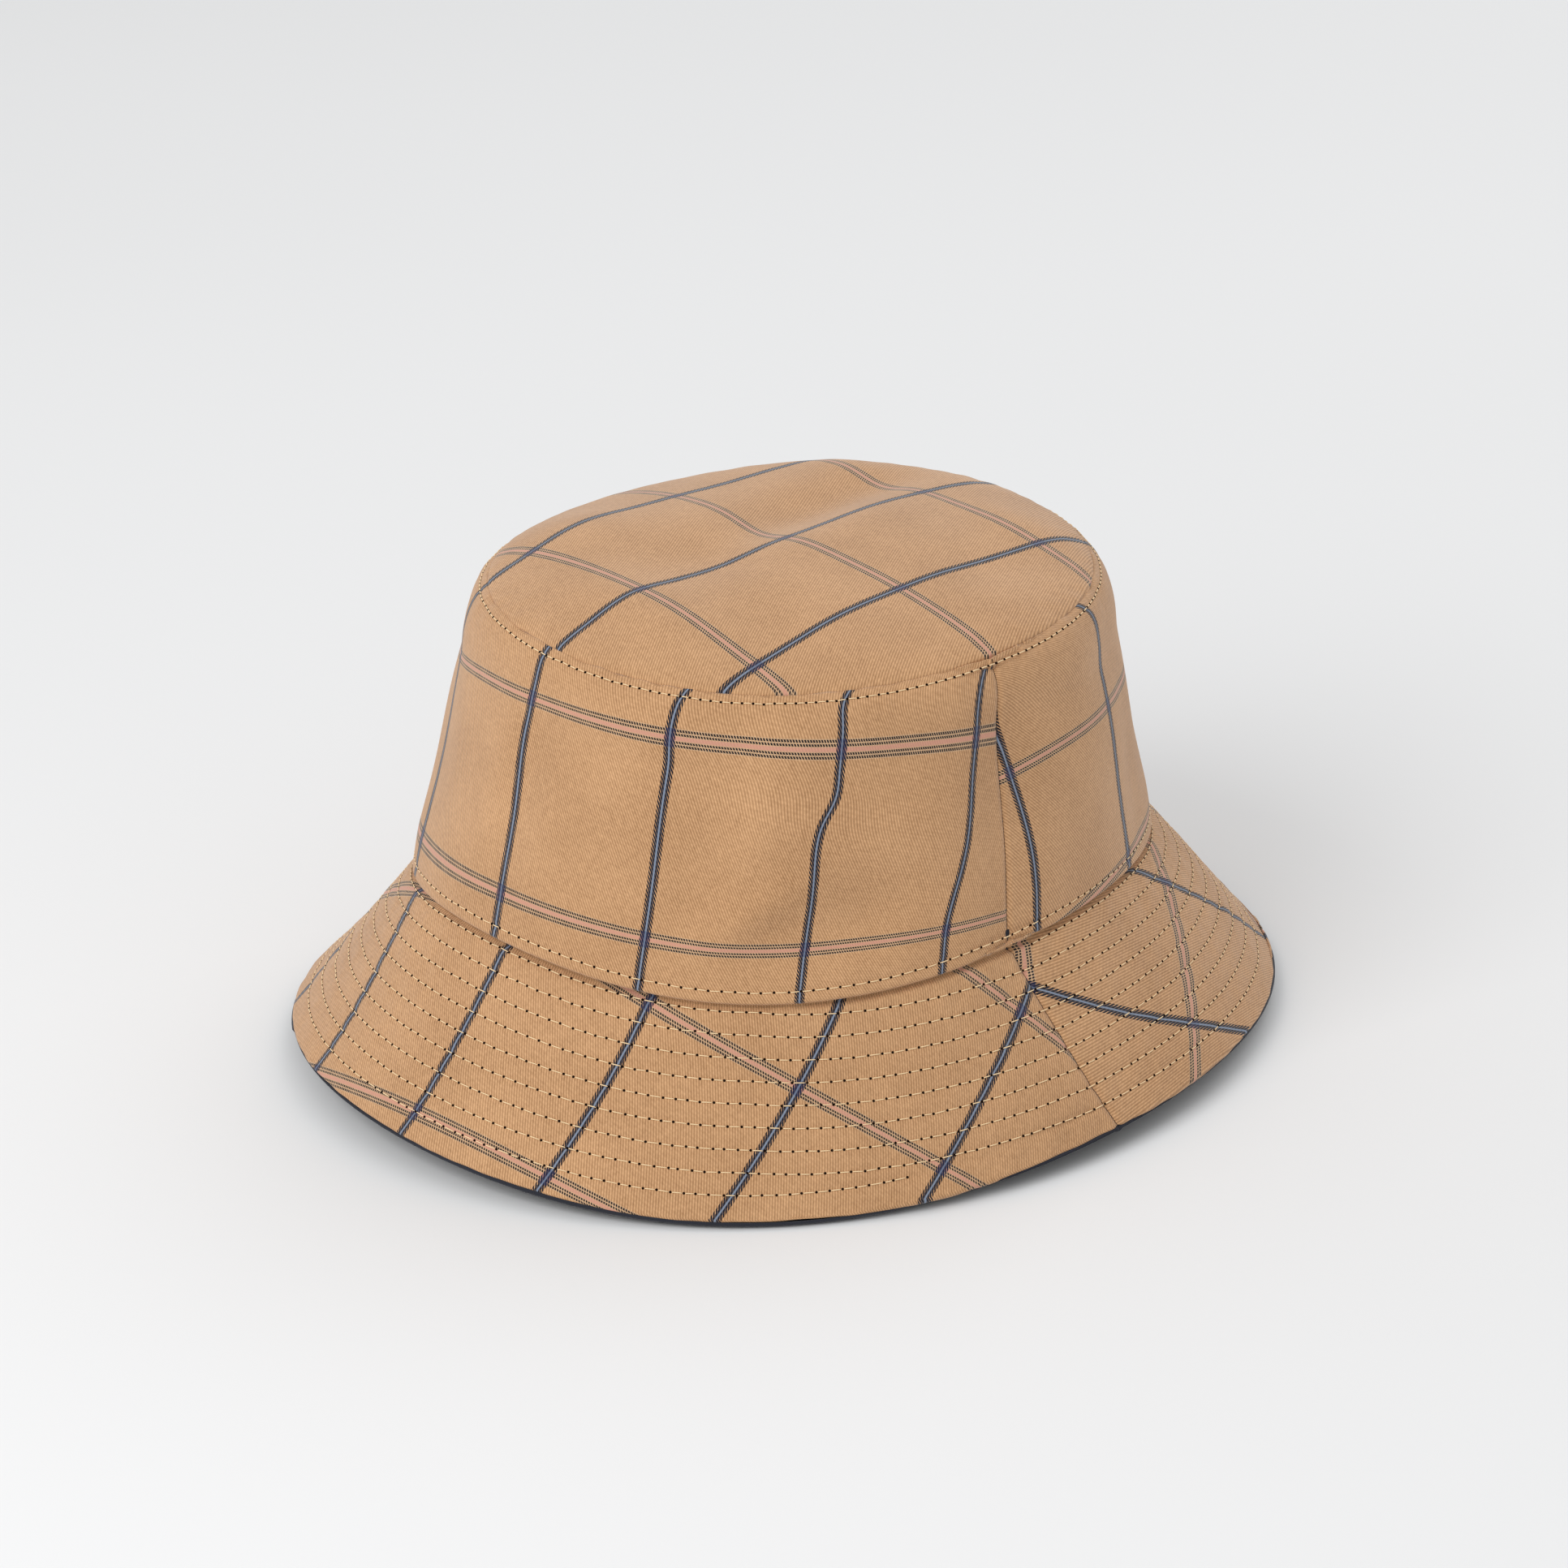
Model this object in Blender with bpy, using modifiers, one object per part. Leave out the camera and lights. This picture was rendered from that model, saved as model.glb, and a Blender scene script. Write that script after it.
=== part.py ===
"""Reversible bucket hat, standing on its brim edge.

Row frame in metres: Z up, floor at z = 0, wearer faces -Y, wearer's left is +X.
Every cloth layer is a half-millimetre sheet bent along one shared cross-section, so layers keep
a constant gap. A cross-section is a list of (m, z): m is the mean radius of the oval at height z.
"""
import math

import bmesh
import bpy
from mathutils import Vector

MM = 0.001

# Driving dimensions, millimetres
OVAL = 0.05                  # the oval is 5 % longer front to back, 5 % narrower side to side
COLUMNS = 36                 # facets round the whole hat
CLOTH = 0.6                  # cloth thickness
PITCH = 0.9                  # centreline spacing of neighbouring layers, leaves a 0.3 gap
SEAM_GAP = 0.3               # butt gap between two panels at a side seam
HEAD_MEAN_R = 95.6           # outside mean radius at the bottom fold of the crown
TIP_MEAN_R = 76.0            # mean radius of the seam round the crown tip
CROWN_HEIGHT = 69.5          # from the bottom fold to the tip seam
TIP_RISE = 11.0              # how far the crown tip puffs up above its seam
ALLOWANCE_TOP = 8.0          # turned-in cloth at the tip seam
ALLOWANCE_HEAD = 9.0         # turned-in cloth at the headline
ALLOWANCE_EDGE = 7.0         # turned-in cloth inside the brim edge
INTERLINING = 1.5            # thickness of the brim stiffener
THREAD_R = 0.2               # sewing thread radius
THREAD_LIFT = 0.35           # thread centreline above the cloth it lies on
TIP_STITCH = 2.7             # topstitch below the tip fold
HEAD_STITCH = 2.6            # topstitch above the headline fold
ROW_FIRST = 1.4              # first brim row, from the headline fold
ROW_PITCH = 6.0              # spacing of the brim rows
ROW_TURNS = 8.93             # turns of the continuous row, ending by the left side seam
ROW_STEP = 0.125             # share of each turn in which the row moves out by one pitch
BRIM_STEPS = ((9.5, -62.0), (10.5, -59.5), (11.0, -57.0), (11.0, -55.5), (13.5, -54.0))

CAMEL = (0.57, 0.34, 0.17, 1.0)
NAVY = (0.02, 0.022, 0.03, 1.0)
FELT = (0.62, 0.6, 0.55, 1.0)
YARN = (0.75, 0.58, 0.33, 1.0)


def unit(ax, az):
    """Unit vector of (ax, az)."""
    size = math.hypot(ax, az)
    return ax / size, az / size


def parallel(path, depth):
    """The path shifted to its right by depth: inward for a path that runs down the hat."""
    out = []
    last = len(path) - 1
    for i, (m, z) in enumerate(path):
        before = path[max(i - 1, 0)]
        after = path[min(i + 1, last)]
        d1 = unit(m - before[0], z - before[1]) if i > 0 else None
        d2 = unit(after[0] - m, after[1] - z) if i < last else None
        d1 = d1 or d2
        d2 = d2 or d1
        n1 = (d1[1], -d1[0])
        n2 = (d2[1], -d2[0])
        nx, nz = unit(n1[0] + n2[0], n1[1] + n2[1])
        miter = depth / (nx * n1[0] + nz * n1[1])
        out.append((m + nx * miter, z + nz * miter))
    return out


def length(path):
    """Arc length of a path."""
    return sum(math.dist(a, b) for a, b in zip(path, path[1:]))


def walk(path, distance):
    """Point at a distance along the path, and the unit direction there."""
    left = distance
    for a, b in zip(path, path[1:]):
        step = math.dist(a, b)
        if left <= step or b is path[-1]:
            f = left / step
            point = (a[0] + (b[0] - a[0]) * f, a[1] + (b[1] - a[1]) * f)
            return point, unit(b[0] - a[0], b[1] - a[1])
        left -= step
    return path[-1], (1.0, 0.0)


def piece(path, start, end):
    """The part of a path between two distances along it."""
    out = [walk(path, start)[0]]
    run = 0.0
    for a, b in zip(path, path[1:]):
        run += math.dist(a, b)
        if start + 0.05 < run < end - 0.05:
            out.append(b)
    out.append(walk(path, end)[0])
    return out


def u_turn(point, direction, turn, steps=5):
    """Points of a half circle that starts at point; turn -1 bends right, +1 bends left."""
    radius = PITCH / 2
    angle = math.atan2(direction[1], direction[0])
    chord = 2 * radius * math.sin(math.pi / steps / 2)
    out = []
    m, z = point
    for i in range(steps):
        heading = angle + turn * math.pi / steps * (i + 0.5)
        m += chord * math.cos(heading)
        z += chord * math.sin(heading)
        out.append((m, z))
    return out


def crown_face():
    """Outer face of the side panel, from the tip fold down to the headline fold."""
    top = CROWN_HEIGHT
    return [
        (TIP_MEAN_R, top),
        (TIP_MEAN_R + 2.2, top - 1.5),
        (TIP_MEAN_R + 4.0, top - 4.2),
        (TIP_MEAN_R + 5.3, top - 8.4),
        (TIP_MEAN_R + 7.2, top - 15.8),
        (TIP_MEAN_R + 11.6, top - 33.0),
        (TIP_MEAN_R + 15.7, top - 51.0),
        (HEAD_MEAN_R, 0.0),
    ]


def brim_face(crown):
    """Outer face of the brim, from under the crown's bottom fold out to the brim edge."""
    end = crown[-1]
    d = unit(end[0] - crown[-2][0], end[1] - crown[-2][1])
    inward = (d[1], -d[0])
    m = end[0] + d[0] * 0.3 + inward[0] * 2 * PITCH
    z = end[1] + d[1] * 0.3 + inward[1] * 2 * PITCH
    out = [(m, z)]
    for step, degrees in BRIM_STEPS:
        m += step * math.cos(math.radians(degrees))
        z += step * math.sin(math.radians(degrees))
        out.append((m, z))
    return out


def side_path(crown):
    """Side panel: turned in at the tip seam, down the outside, turned in at the headline."""
    outer = parallel(crown, CLOTH / 2)
    inner = parallel(crown, CLOTH / 2 + PITCH)
    start = walk(outer, 0.0)
    back = (-start[1][0], -start[1][1])
    top = u_turn(start[0], back, +1)
    bottom = u_turn(outer[-1], unit(outer[-1][0] - outer[-2][0], outer[-1][1] - outer[-2][1]), -1)
    fold_top = piece(inner, 0.0, ALLOWANCE_TOP)
    fold_bottom = piece(inner, length(inner) - ALLOWANCE_HEAD, length(inner))
    head = fold_top[:0:-1] + top[::-1] + outer
    return head + bottom + fold_bottom[-2::-1]


def dome(first, drop):
    """Crown tip cloth from the seam to the middle."""
    base_m, base_z = first
    out = []
    for f in (0.93, 0.86, 0.74, 0.58, 0.40, 0.20, 0.0):
        rise = (TIP_RISE - drop) * (1.0 - f * f) ** 0.62
        out.append((base_m * f, base_z + 0.6 + rise))
    return out


def tip_path(crown, depth, drop):
    """Crown tip: allowance turned down inside the side panel, then the domed top."""
    face = parallel(crown, depth)
    lower = piece(face, 0.0, ALLOWANCE_TOP)[::-1]
    return lower + dome(lower[-1], drop)


def brim_path(crown, brim, head_depth, face_depth, turn, short):
    """Brim cloth: allowance turned up inside the crown, down the brim, turned in at the edge."""
    up = parallel(crown, head_depth)
    upper = piece(up, length(up) - ALLOWANCE_HEAD, length(up))
    face = parallel(brim, face_depth)
    main = piece(face, 1.5, length(face) - short)
    edge = u_turn(main[-1], unit(main[-1][0] - main[-2][0], main[-1][1] - main[-2][1]), turn)
    folded = parallel(brim, face_depth - turn * PITCH)
    end = length(folded) - short
    back = piece(folded, end - ALLOWANCE_EDGE, end)
    return upper + main + edge + back[-2::-1]


def oval(m, z, angle):
    """Point of the hat at mean radius m, height z (millimetres) and eccentric angle."""
    x = m * (1.0 - OVAL) * math.cos(angle)
    y = m * (1.0 + OVAL) * math.sin(angle)
    return Vector((x, y, z)) * MM


def angles(half):
    """Column angles: half 'front' runs over -Y, 'back' over +Y, None goes all the way round."""
    if half is None:
        return [2 * math.pi * i / COLUMNS for i in range(COLUMNS)]
    steps = COLUMNS // 2
    start = math.pi if half == "front" else 0.0
    trim = SEAM_GAP / 2 / HEAD_MEAN_R
    out = [start + math.pi * i / steps for i in range(steps + 1)]
    out[0] += trim
    out[-1] -= trim
    return out


def new_object(name, data, color):
    """Object in the hat's collection with a material of its own."""
    obj = bpy.data.objects.new(name, data)
    bpy.data.collections[COLLECTION].objects.link(obj)
    mat = bpy.data.materials.new(name)
    mat.use_nodes = True
    shader = mat.node_tree.nodes["Principled BSDF"]
    shader.inputs["Base Color"].default_value = color
    shader.inputs["Roughness"].default_value = 0.85
    data.materials.append(mat)
    return obj


def sheet(name, path, half, color, thickness=CLOTH):
    """One cloth piece: the path swept round the oval, then given its thickness."""
    around = angles(half)
    closed = half is None
    bm = bmesh.new()
    rows = []
    for m, z in path:
        if m < 0.01:
            rows.append([bm.verts.new(oval(0.0, z, 0.0))])
        else:
            rows.append([bm.verts.new(oval(m, z, a)) for a in around])
    count = len(around) if closed else len(around) - 1
    for low, high in zip(rows, rows[1:]):
        for i in range(count):
            j = (i + 1) % len(around)
            if len(high) == 1:
                bm.faces.new((low[i], low[j], high[0]))
            else:
                bm.faces.new((low[i], low[j], high[j], high[i]))
    bmesh.ops.recalc_face_normals(bm, faces=bm.faces)
    mesh = bpy.data.meshes.new(name)
    bm.to_mesh(mesh)
    bm.free()
    obj = new_object(name, mesh, color)
    solid = obj.modifiers.new("cloth", "SOLIDIFY")
    solid.thickness = thickness * MM
    solid.offset = 0.0
    solid.use_even_offset = True
    solid.use_quality_normals = False
    return obj


def cord(name, points, closed, color):
    """Sewing thread: a round bevel along points in metres."""
    curve = bpy.data.curves.new(name, "CURVE")
    curve.dimensions = "3D"
    spline = curve.splines.new("POLY")
    spline.points.add(len(points) - 1)
    for target, point in zip(spline.points, points):
        target.co = (point.x, point.y, point.z, 1.0)
    spline.use_cyclic_u = closed
    curve.bevel_depth = THREAD_R * MM
    curve.bevel_resolution = 0
    curve.use_fill_caps = not closed
    return new_object(name, curve, color)


def ring_thread(name, face, distance, lift):
    """One closed row of topstitching at a distance along a face."""
    line = parallel(face, -lift)
    m, z = walk(line, distance)[0]
    cord(name, [oval(m, z, a) for a in angles(None)], True, YARN)


def row_distance(turns):
    """Distance of the brim row from the fold: level, then one pitch out before each side seam."""
    whole = math.floor(turns)
    move = max(0.0, (turns - whole - 1.0 + ROW_STEP) / ROW_STEP)
    last = math.floor(ROW_TURNS)
    return ROW_FIRST + ROW_PITCH * (whole + (move if whole < last else 0.0))


def spiral_thread(name, face, depth):
    """The continuous row that winds outward over the brim."""
    line = parallel(face, depth)
    points = []
    for i in range(int(COLUMNS * ROW_TURNS) + 1):
        distance = row_distance(i / COLUMNS)
        m, z = walk(line, distance)[0]
        points.append(oval(m, z, 2 * math.pi * i / COLUMNS))
    cord(name, points, False, YARN)


def build_crown(crown):
    """Outer shell and lining of the crown."""
    side = side_path(crown)
    sheet("outer_side_panel_front", side, "front", CAMEL)
    sheet("outer_side_panel_back", side, "back", CAMEL)
    sheet("outer_crown_tip", tip_path(crown, CLOTH / 2 + 2 * PITCH, 0.0), None, CAMEL)
    sheet("lining_crown_tip", tip_path(crown, CLOTH / 2 + 3 * PITCH, 0.3), None, NAVY)
    inner = parallel(crown, CLOTH / 2 + 4 * PITCH)
    lining = piece(inner, 1.0, length(inner) - 0.5)
    sheet("lining_side_panel_front", lining, "front", NAVY)
    sheet("lining_side_panel_back", lining, "back", NAVY)


def build_brim(crown, brim):
    """Outer brim, stiffener and under brim."""
    top_depth = CLOTH / 2
    under_depth = CLOTH / 2 + 3 * PITCH
    edge = BRIM_STEPS[-1][1]
    short = 2 * PITCH * math.cos(math.radians(edge)) / -math.sin(math.radians(edge))
    outer = brim_path(crown, brim, CLOTH / 2 + 2 * PITCH, top_depth, -1, 0.0)
    under = brim_path(crown, brim, CLOTH / 2 + 3 * PITCH, under_depth, +1, short)
    middle = parallel(brim, CLOTH + 0.3 + INTERLINING / 2)
    stiffener = piece(middle, 7.0, length(middle) - ALLOWANCE_EDGE - 2.5)
    for half in ("front", "back"):
        sheet("outer_brim_" + half, outer, half, CAMEL)
        sheet("under_brim_" + half, under, half, NAVY)
        sheet("brim_interlining_" + half, stiffener, half, FELT, INTERLINING)


def build_threads(crown, brim):
    """The rows of stitching that show."""
    ring_thread("tip_topstitch_thread", crown, TIP_STITCH, THREAD_LIFT)
    ring_thread("headline_topstitch_thread", crown, length(crown) - HEAD_STITCH, THREAD_LIFT)
    inside = CLOTH + 4 * PITCH + THREAD_LIFT
    ring_thread("headline_bobbin_thread", crown, length(crown) - HEAD_STITCH - 2.0, -inside)
    spiral_thread("brim_needle_thread", brim, -THREAD_LIFT)
    spiral_thread("brim_bobbin_thread", brim, CLOTH + 3 * PITCH + THREAD_LIFT)


def lift(path, height):
    """The path raised by height."""
    return [(m, z + height) for m, z in path]


COLLECTION = "bucket_hat"


def main():
    """Build the hat with the lowest fold of the brim edge on the floor."""
    for obj in list(bpy.data.objects):
        bpy.data.objects.remove(obj, do_unlink=True)
    bpy.context.scene.collection.children.link(bpy.data.collections.new(COLLECTION))
    crown = crown_face()
    brim = brim_face(crown)
    edge = brim_path(crown, brim, CLOTH / 2 + 2 * PITCH, CLOTH / 2, -1, 0.0)
    floor = min(z for m, z in edge) - CLOTH / 2
    crown = lift(crown, -floor)
    brim = lift(brim, -floor)
    build_crown(crown)
    build_brim(crown, brim)
    build_threads(crown, brim)


main()
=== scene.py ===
"""Checked bucket hat standing on its brim edge on a pale table.

The hat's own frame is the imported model's: Z up, floor at z = 0, the wearer faces -Y and the
wearer's left is +X. Lengths are millimetres until a mesh is made. A cross-section is an array of
(m, z) points, m being the mean radius of the oval at height z, and s is the distance along it.
The angle t starts at +X and grows towards +Y.
"""
import math

import bpy
import numpy as np
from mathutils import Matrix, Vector


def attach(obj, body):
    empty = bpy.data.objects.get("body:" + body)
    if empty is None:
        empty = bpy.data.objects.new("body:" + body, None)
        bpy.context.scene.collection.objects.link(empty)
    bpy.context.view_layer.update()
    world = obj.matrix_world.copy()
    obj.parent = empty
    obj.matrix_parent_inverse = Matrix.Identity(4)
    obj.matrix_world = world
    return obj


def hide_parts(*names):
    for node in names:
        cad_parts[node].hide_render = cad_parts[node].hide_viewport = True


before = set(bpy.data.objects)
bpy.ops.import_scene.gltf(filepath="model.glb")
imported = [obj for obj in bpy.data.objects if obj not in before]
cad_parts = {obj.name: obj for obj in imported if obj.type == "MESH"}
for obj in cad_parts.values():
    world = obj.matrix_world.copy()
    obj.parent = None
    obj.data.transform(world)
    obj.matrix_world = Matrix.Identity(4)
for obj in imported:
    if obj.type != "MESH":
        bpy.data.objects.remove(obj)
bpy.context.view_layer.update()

MM = 0.001
TAU = 2.0 * math.pi

# --- Shape of the hat --------------------------------------------------------------------------

# The values down to BRIM_HOLLOW, the right seam's apart, are rounded results of a least-squares
# fit, a few of them changed since.
# Heights of the three rings that shape the hat: brim edge, headline fold, seam round the tip
LEVELS = (0.0, 44.8, 119.2)
BRIM_R, HEAD_R, TIP_R = 125.1, 94.8, 74.5
SHAPE = {                       # value at the brim edge, at the headline, at the tip seam
    "oval": (0.076, 0.087, 0.039),         # how much longer the hat is front to back
    "shift_x": (0.5, 0.7, -0.6),
    "shift_y": (-0.1, 0.3, 0.9),
    "twist": (5.6, 1.7, 2.9),              # the long axis leans towards +X +Y
    "lobe_c": (-0.4, 0.9, 0.1),            # three soft corners
    "lobe_s": (-1.9, -2.5, 0.1),
    "dip_2c": (-0.7, -1.0, -0.9),          # rise and fall with two waves round
    "dip_2s": (-0.4, -2.6, 0.8),
    "dip_3c": (2.3, 3.1, 1.0),             # and with three
    "dip_3s": (2.6, 2.7, 0.35),
    "lean_x": (-0.012, 0.004, -0.011),
    "lean_y": (0.005, 0.001, 0.010),
}
SEAM_LEFT = (2.4, -3.9, -0.5)              # side seam by the wearer's left, degrees, same levels
SEAM_RIGHT = (179.0, 181.5, 180.5)
SHOULDER_W, SHOULDER_H = 7.0, 16.6         # rounded top of the side panel
LEDGE = 1.5                                # the crown's bottom fold stands over the brim
DOME_RISE, DOME_POWER = 10.5, 0.62         # how far the tip puffs up, and how flat its middle is
BRIM_HOLLOW = 0.45                         # how far the brim sags inward halfway down
SECTION_STEP = 0.75                        # spacing of the points along a section
CLOTH = 0.5                                # thickness
LAYERS = 3.4                               # outer cloth, seam allowances and lining together


def at_level(name, z):
    """A shape value at height z."""
    return np.interp(z, LEVELS, SHAPE[name])


def place(m, z, t):
    """Points of the hat at mean radius m, height z and angle t; the arrays broadcast."""
    m, z, t = np.broadcast_arrays(m, z, t)
    lobes = (at_level("twist", z) * np.sin(2 * t) + at_level("lobe_c", z) * np.cos(3 * t)
             + at_level("lobe_s", z) * np.sin(3 * t)) * np.clip(m / TIP_R, 0, 1)
    oval = at_level("oval", z)
    x = at_level("shift_x", z) + (m * (1 - oval) + lobes) * np.cos(t)
    y = at_level("shift_y", z) + (m * (1 + oval) + lobes) * np.sin(t)
    waves = (at_level("dip_2c", z) * np.cos(2 * t) + at_level("dip_2s", z) * np.sin(2 * t)
             + at_level("dip_3c", z) * np.cos(3 * t) + at_level("dip_3s", z) * np.sin(3 * t))
    waves = waves * np.clip(m / TIP_R, 0, 1) ** 2
    height = z + waves + at_level("lean_x", z) * x + at_level("lean_y", z) * y
    return np.stack([x, y, height], -1)


def soften(path, reach):
    """The path with its corners rounded over reach points."""
    out = path.copy()
    for _ in range(reach):
        out[1:-1] = (out[:-2] + 2 * out[1:-1] + out[2:]) / 4
    return out


def run_length(path):
    """Distance along a path at each of its points."""
    return np.concatenate([[0.0], np.cumsum(np.hypot(*np.diff(path, axis=0).T))])


def resample(path, step):
    """The path with even steps of about the given size."""
    run = run_length(path)
    s = np.linspace(0.0, run[-1], int(run[-1] / step) + 2)
    return np.stack([np.interp(s, run, path[:, 0]), np.interp(s, run, path[:, 1])], -1)


def crown_section():
    """Side panel's face, from the tip seam over the shoulder down to the headline fold."""
    a = np.linspace(0.0, math.pi / 2, 24)
    shoulder = np.stack([TIP_R + SHOULDER_W * np.sin(a),
                         LEVELS[2] - SHOULDER_H * (1 - np.cos(a))], -1)
    v = np.linspace(0.0, 1.0, 60)[1:]
    low = shoulder[-1] + (np.array([HEAD_R, LEVELS[1]]) - shoulder[-1]) * v[:, None]
    return soften(resample(np.concatenate([shoulder, low]), SECTION_STEP), 12)


def brim_section():
    """Brim's face, from under the crown's bottom fold out to the edge."""
    v = np.linspace(0.0, 1.0, 80)[:, None]
    start = np.array([HEAD_R - LEDGE, LEVELS[1]])
    path = start + (np.array([BRIM_R, 0.0]) - start) * v
    path[:, 0] -= BRIM_HOLLOW * np.sin(math.pi * v[:, 0])
    return resample(path, SECTION_STEP)


def offset(path, depth):
    """The path moved inward, away from the side that shows, by depth."""
    d = np.gradient(path, axis=0)
    d /= np.hypot(d[:, 0], d[:, 1])[:, None]
    return path - depth * np.stack([-d[:, 1], d[:, 0]], -1)


def seam_angle(side, z):
    """Angle of a side seam at height z."""
    table = SEAM_LEFT if side == "left" else SEAM_RIGHT
    return np.radians(np.interp(z, LEVELS, table))


def panel_angles(half, z, count, crowd=0.5):
    """Angles of a half panel's columns at each height, closer together by its two seams."""
    c = np.linspace(0.0, 1.0, count)
    c = c - crowd * np.sin(TAU * c) / TAU
    start, end = seam_angle("left", z), seam_angle("right", z)
    if half == "front":
        start, end = end, start + TAU
    return start[:, None] + (end - start)[:, None] * c


def develop(points):
    """Flat-pattern coordinates of a half panel: right of its middle and down from its top."""
    across = np.linalg.norm(np.diff(points, axis=1), axis=-1)
    across = np.concatenate([np.zeros((len(points), 1)), np.cumsum(across, axis=1)], 1)
    down = np.linalg.norm(np.diff(points, axis=0), axis=-1).mean(1)
    down = np.concatenate([[0.0], np.cumsum(down)])
    width = across[:, -1]
    turn, first = np.polyfit(down, width, 1)
    radius = first / turn
    angle = (across - width[:, None] / 2) / (radius + down)[:, None]
    reach = (radius + down)[:, None]
    return reach * np.sin(angle), reach * np.cos(angle) - radius


# --- Fine shape of the cloth ---------------------------------------------------------------

TIP_STITCH = 2.8               # topstitch below the tip seam
HEAD_STITCH = 2.6              # topstitch above the headline fold
ROW_FIRST, ROW_PITCH = 2.9, 5.57   # brim rows: the first from the crown's fold, then each next
ROW_TURNS, ROW_STEP = 8.93, 0.125  # turns in all, and the share of a turn that moves outward
STITCH, TIP_STITCH_PITCH = 3.3, 2.6
SEAM_GAP = 0.12                # between the outer cloths at a side seam
CHANNEL, CHANNEL_WIDTH = 0.28, 0.8
CREASE_AT, CREASE, CREASE_WIDTH = 1.6, 1.7, 0.7     # where the brim meets the crown


def groove(distance, depth, width):
    """A rounded groove at distance zero."""
    return -depth * np.exp(-(distance / width) ** 2)


def wander(x, y, z, size, seed, count=10):
    """Smooth random field between about -1 and 1, with waves of about the given size."""
    draw = np.random.default_rng(seed)
    total = 0.0
    for _ in range(count):
        heading = draw.normal(size=3)
        heading /= np.linalg.norm(heading) * size * draw.uniform(0.7, 1.6)
        phase = draw.uniform(0, TAU)
        total = total + np.sin(TAU * (x * heading[0] + y * heading[1] + z * heading[2]) + phase)
    return total / math.sqrt(count)


def around(t, s, radius, size, seed):
    """The random field on a swept face, the same after a full turn."""
    return wander(radius * np.cos(t), radius * np.sin(t), s, size, seed)


def swell(u, v, reach_u, reach_v, turn, height):
    """One soft oval rise, or dent, centred on u = v = 0."""
    c, k = math.cos(math.radians(turn)), math.sin(math.radians(turn))
    along, across = u * c + v * k, v * c - u * k
    return height * np.exp(-(along / reach_u) ** 2 - (across / reach_v) ** 2)


def angle_from(t, degrees):
    """Signed angle of t from a compass angle on the hat, in radians."""
    return np.mod(t - math.radians(degrees) + math.pi, TAU) - math.pi


def row_offset(turns):
    """Distance along the brim of the continuous row after a number of turns."""
    whole = np.floor(turns)
    move = np.clip((turns - whole - 1.0 + ROW_STEP) / ROW_STEP, 0.0, 1.0)
    move = np.where(whole < math.floor(ROW_TURNS), move, 0.0)
    return ROW_FIRST + ROW_PITCH * (whole + move)


def brim_waves(s, t):
    """Soft unevenness of the brim, which all its layers share."""
    return 0.10 * around(t, s, BRIM_R, 9.0, 5) + 0.35 * around(t, s, BRIM_R, 45.0, 6)


def brim_channels(s, t):
    """Stitched channels of the brim."""
    share = np.mod(t / TAU, 1.0)
    out = np.zeros(np.broadcast(s, t).shape)
    for turn in range(math.ceil(ROW_TURNS)):
        out = out + groove(s - row_offset(turn + share), CHANNEL, CHANNEL_WIDTH)
    return out


def brim_relief(s, t):
    """The brim's upper cloth, which also sinks into the crease under the crown."""
    crease = groove(s - CREASE_AT, CREASE, CREASE_WIDTH)
    return brim_channels(s, t) + crease + brim_waves(s, t)


def under_height(s, t):
    """The cloth under the brim: it rises into the channels and shares the waves."""
    return brim_waves(s, t) - 0.7 * brim_channels(s, t)


SIDE_SWELLS = (     # angle, distance down, reach round and down, turn in degrees, height
    (313.5, 57.0, 15.0, 5.5, -28.0, 2.4),
    (333.0, 60.0, 18.0, 12.0, -14.0, -3.2),
    (328.0, 30.0, 26.0, 20.0, 0.0, 0.8),
    (306.0, 46.0, 9.0, 24.0, 15.0, -1.1),
    (310.5, 7.0, 3.5, 8.0, 0.0, -0.7),
    (268.0, 42.0, 9.0, 22.0, 10.0, -1.6),
    (290.0, 30.0, 22.0, 22.0, 0.0, 0.8),
    (20.0, 45.0, 16.0, 24.0, 10.0, 1.2),
    (38.0, 52.0, 9.0, 22.0, 0.0, -1.0),
    (120.0, 40.0, 26.0, 18.0, 30.0, 1.6),
    (200.0, 50.0, 22.0, 16.0, -30.0, 1.5),
)


def side_relief(s, t, length):
    """Side panel: sunk at both topstitches, puckered by the tip seam, softly folded."""
    out = groove(s - TIP_STITCH, 0.25, 0.6) + groove(s - length + HEAD_STITCH, 0.28, 0.7)
    out = out + 0.16 * around(t, s * 0.2, HEAD_R, 7.0, 11) * np.exp(-np.abs(s) / 7.0)
    free = np.clip(s / 12, 0, 1) * np.clip((length - s) / 10, 0, 1)     # held at both seams
    folds = 0.5 * around(t, s * 0.7, HEAD_R, 36.0, 12)
    for degrees, down, reach_u, reach_v, turn, height in SIDE_SWELLS:
        u = angle_from(t, degrees) * HEAD_R
        folds = folds + swell(u, s - down, reach_u, reach_v, turn, height)
    return out + folds * free


TIP_SWELLS = (      # x, y, reach, reach, turn, height
    (-16.0, 28.0, 11.0, 42.0, 8.0, -4.8),
    (-46.0, -32.0, 20.0, 18.0, 0.0, 3.4),
    (30.0, 58.0, 18.0, 12.0, 0.0, 1.8),
    (2.0, -53.0, 26.0, 12.0, 0.0, 1.8),
    (-2.0, -20.0, 14.0, 14.0, 0.0, -1.6),
    (42.0, 27.0, 12.0, 14.0, 0.0, -1.0),
    (-38.0, 54.0, 14.0, 10.0, 0.0, 1.4),
)


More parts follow.
